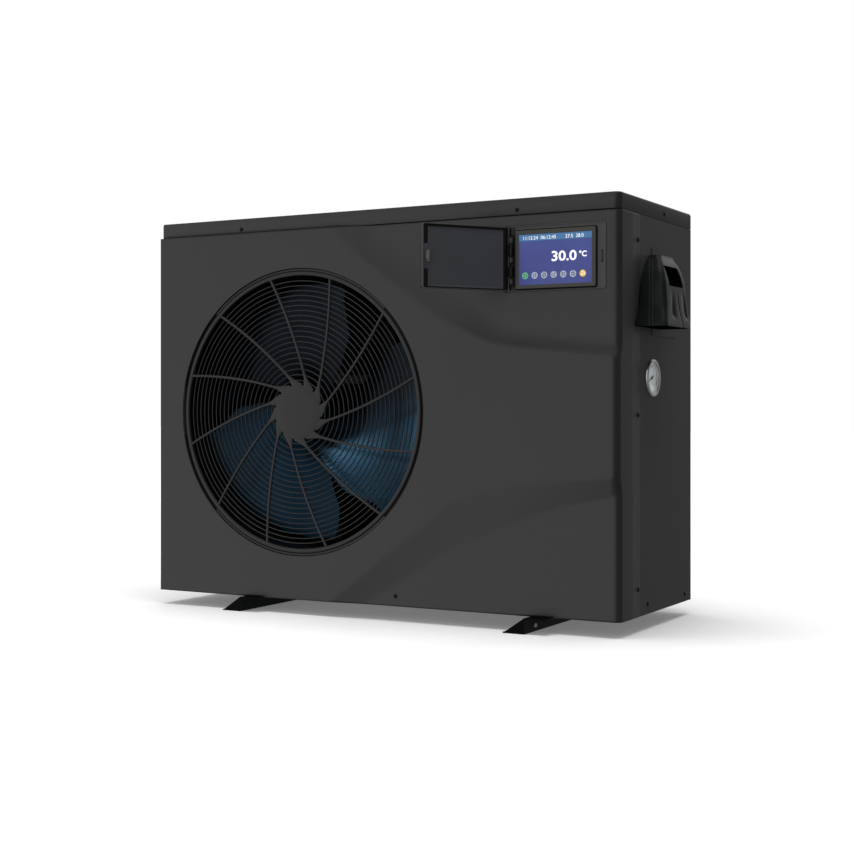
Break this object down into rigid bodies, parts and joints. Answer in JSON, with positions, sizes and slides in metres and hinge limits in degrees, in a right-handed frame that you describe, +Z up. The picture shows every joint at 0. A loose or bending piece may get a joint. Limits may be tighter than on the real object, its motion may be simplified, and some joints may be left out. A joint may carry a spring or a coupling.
{
  "type": "pool heat pump",
  "caption": "Side-discharge pool heat pump cabinet on rails, with a grilled fan outlet, an open door over a touch display, a cable hood, a pressure gauge and rear water unions.",
  "frame": {"origin": "on the floor, at the centre of the four foot bolts", "axes": "+X along the width, to the end with the gauge and the cable hood; -Y is the fan side; +Z up"},
  "size_m": [1.0525, 0.5793, 0.768],
  "materials": {
    "front_moulding": "fine-grained moulded plastic, anthracite, slight sheen",
    "cover_paint": "powder coat, anthracite",
    "tray_paint": "powder coat, dark grey",
    "rail_paint": "powder coat, black",
    "black_screw": "blackened steel",
    "black_enamel": "black enamel, half gloss",
    "motor_paint": "dark enamel",
    "zinc_steel": "zinc plated",
    "galvanised": "galvanised sheet",
    "shaft_steel": "turned steel",
    "titanium": "drawn titanium tube",
    "fin_aluminium": "coated fin stock",
    "copper": "copper tube",
    "brass": "machined brass",
    "chrome": "bright chrome",
    "rubber": "black rubber",
    "black_plastic": "moulded, black",
    "grille_plastic": "moulded, anthracite",
    "bezel_plastic": "moulded, dark",
    "board_green": "circuit board",
    "dial_white": "white enamel",
    "needle_black": "black paint",
    "white_plastic": "pipe-grade plastic, light grey",
    "blue_plastic": "moulded, blue",
    "red_plastic": "moulded, red",
    "fan_plastic": "moulded, blue, half gloss",
    "door_plastic": "moulded, smoked black",
    "hood_plastic": "moulded, gloss black",
    "screen_glass": "lit touch panel behind glass",
    "gauge_lens": "clear lens"
  },
  "bodies": {
    "unit": {"base_tray": "tray_paint", "left_foot": "rail_paint", "right_foot": "rail_paint", "foot_fasteners": "zinc_steel", "drain_spout": "black_plastic", "front_panel": "front_moulding", "right_side_panel": "cover_paint", "rear_panel": "cover_paint", "left_guard": "cover_paint", "rear_guard": "cover_paint", "corner_post": "cover_paint", "top_cover": "cover_paint", "partition_panel": "galvanised", "cap_screws": "black_screw", "panel_screws": "black_screw", "fan_grille": "grille_plastic", "fan_shroud": "black_plastic", "motor_bracket": "galvanised", "motor_case": "motor_paint", "motor_bearings": "shaft_steel", "evaporator_fins": "fin_aluminium", "coil_end_plates": "galvanised", "evaporator_tubes": "copper", "compressor": "black_enamel", "compressor_mounts": "rubber", "accumulator": "black_enamel", "exchanger_shell": "black_plastic", "exchanger_lid": "black_plastic", "titanium_coil": "titanium", "union_sockets": "white_plastic", "union_seals": "rubber", "flow_switch": "black_plastic", "four_way_valve": "brass", "expansion_valve": "brass", "discharge_pipe": "copper", "suction_pipe": "copper", "gas_pipes": "copper", "liquid_line": "copper", "electrical_box": "galvanised", "main_board": "board_green", "display_frame": "front_moulding", "display_module": "bezel_plastic", "touch_glass": "screen_glass", "hinge_pin": "shaft_steel", "service_cover": "cover_paint", "cable_hood": "hood_plastic", "cable_glands": "black_plastic", "gauge_case": "black_plastic", "gauge_bezel": "chrome", "gauge_dial": "dial_white", "gauge_glass": "gauge_lens"},
    "fan": {"fan_blades": "fan_plastic", "fan_shaft": "shaft_steel", "fan_nut": "zinc_steel", "motor_rotor": "zinc_steel"},
    "door": {"display_door": "door_plastic", "door_latch": "door_plastic"},
    "needle": {"gauge_needle": "needle_black"},
    "inlet_ring": {"inlet_nut": "blue_plastic"},
    "outlet_ring": {"outlet_nut": "red_plastic"}
  },
  "joints": [
    {"name": "fan_spin", "type": "hinge", "parent": "unit", "child": "fan", "pos_m": [-0.162, -0.1, 0.388], "axis": [0, 1, 0], "continuous": true},
    {"name": "door_hinge", "type": "hinge", "parent": "unit", "child": "door", "pos_m": [0.291, -0.183, 0.659], "axis": [0, 0, 1], "range_deg": [0, 125]},
    {"name": "needle_swing", "type": "hinge", "parent": "unit", "child": "needle", "pos_m": [0.4935, -0.022, 0.45], "axis": [1, 0, 0], "range_deg": [-250, 20], "stiffness_Nm_per_rad": 0.00002},
    {"name": "inlet_nut_turn", "type": "hinge", "parent": "unit", "child": "inlet_ring", "pos_m": [0.4, 0.21, 0.13], "axis": [0, 1, 0], "continuous": true},
    {"name": "outlet_nut_turn", "type": "hinge", "parent": "unit", "child": "outlet_ring", "pos_m": [0.4, 0.21, 0.455], "axis": [0, 1, 0], "continuous": true}
  ]
}
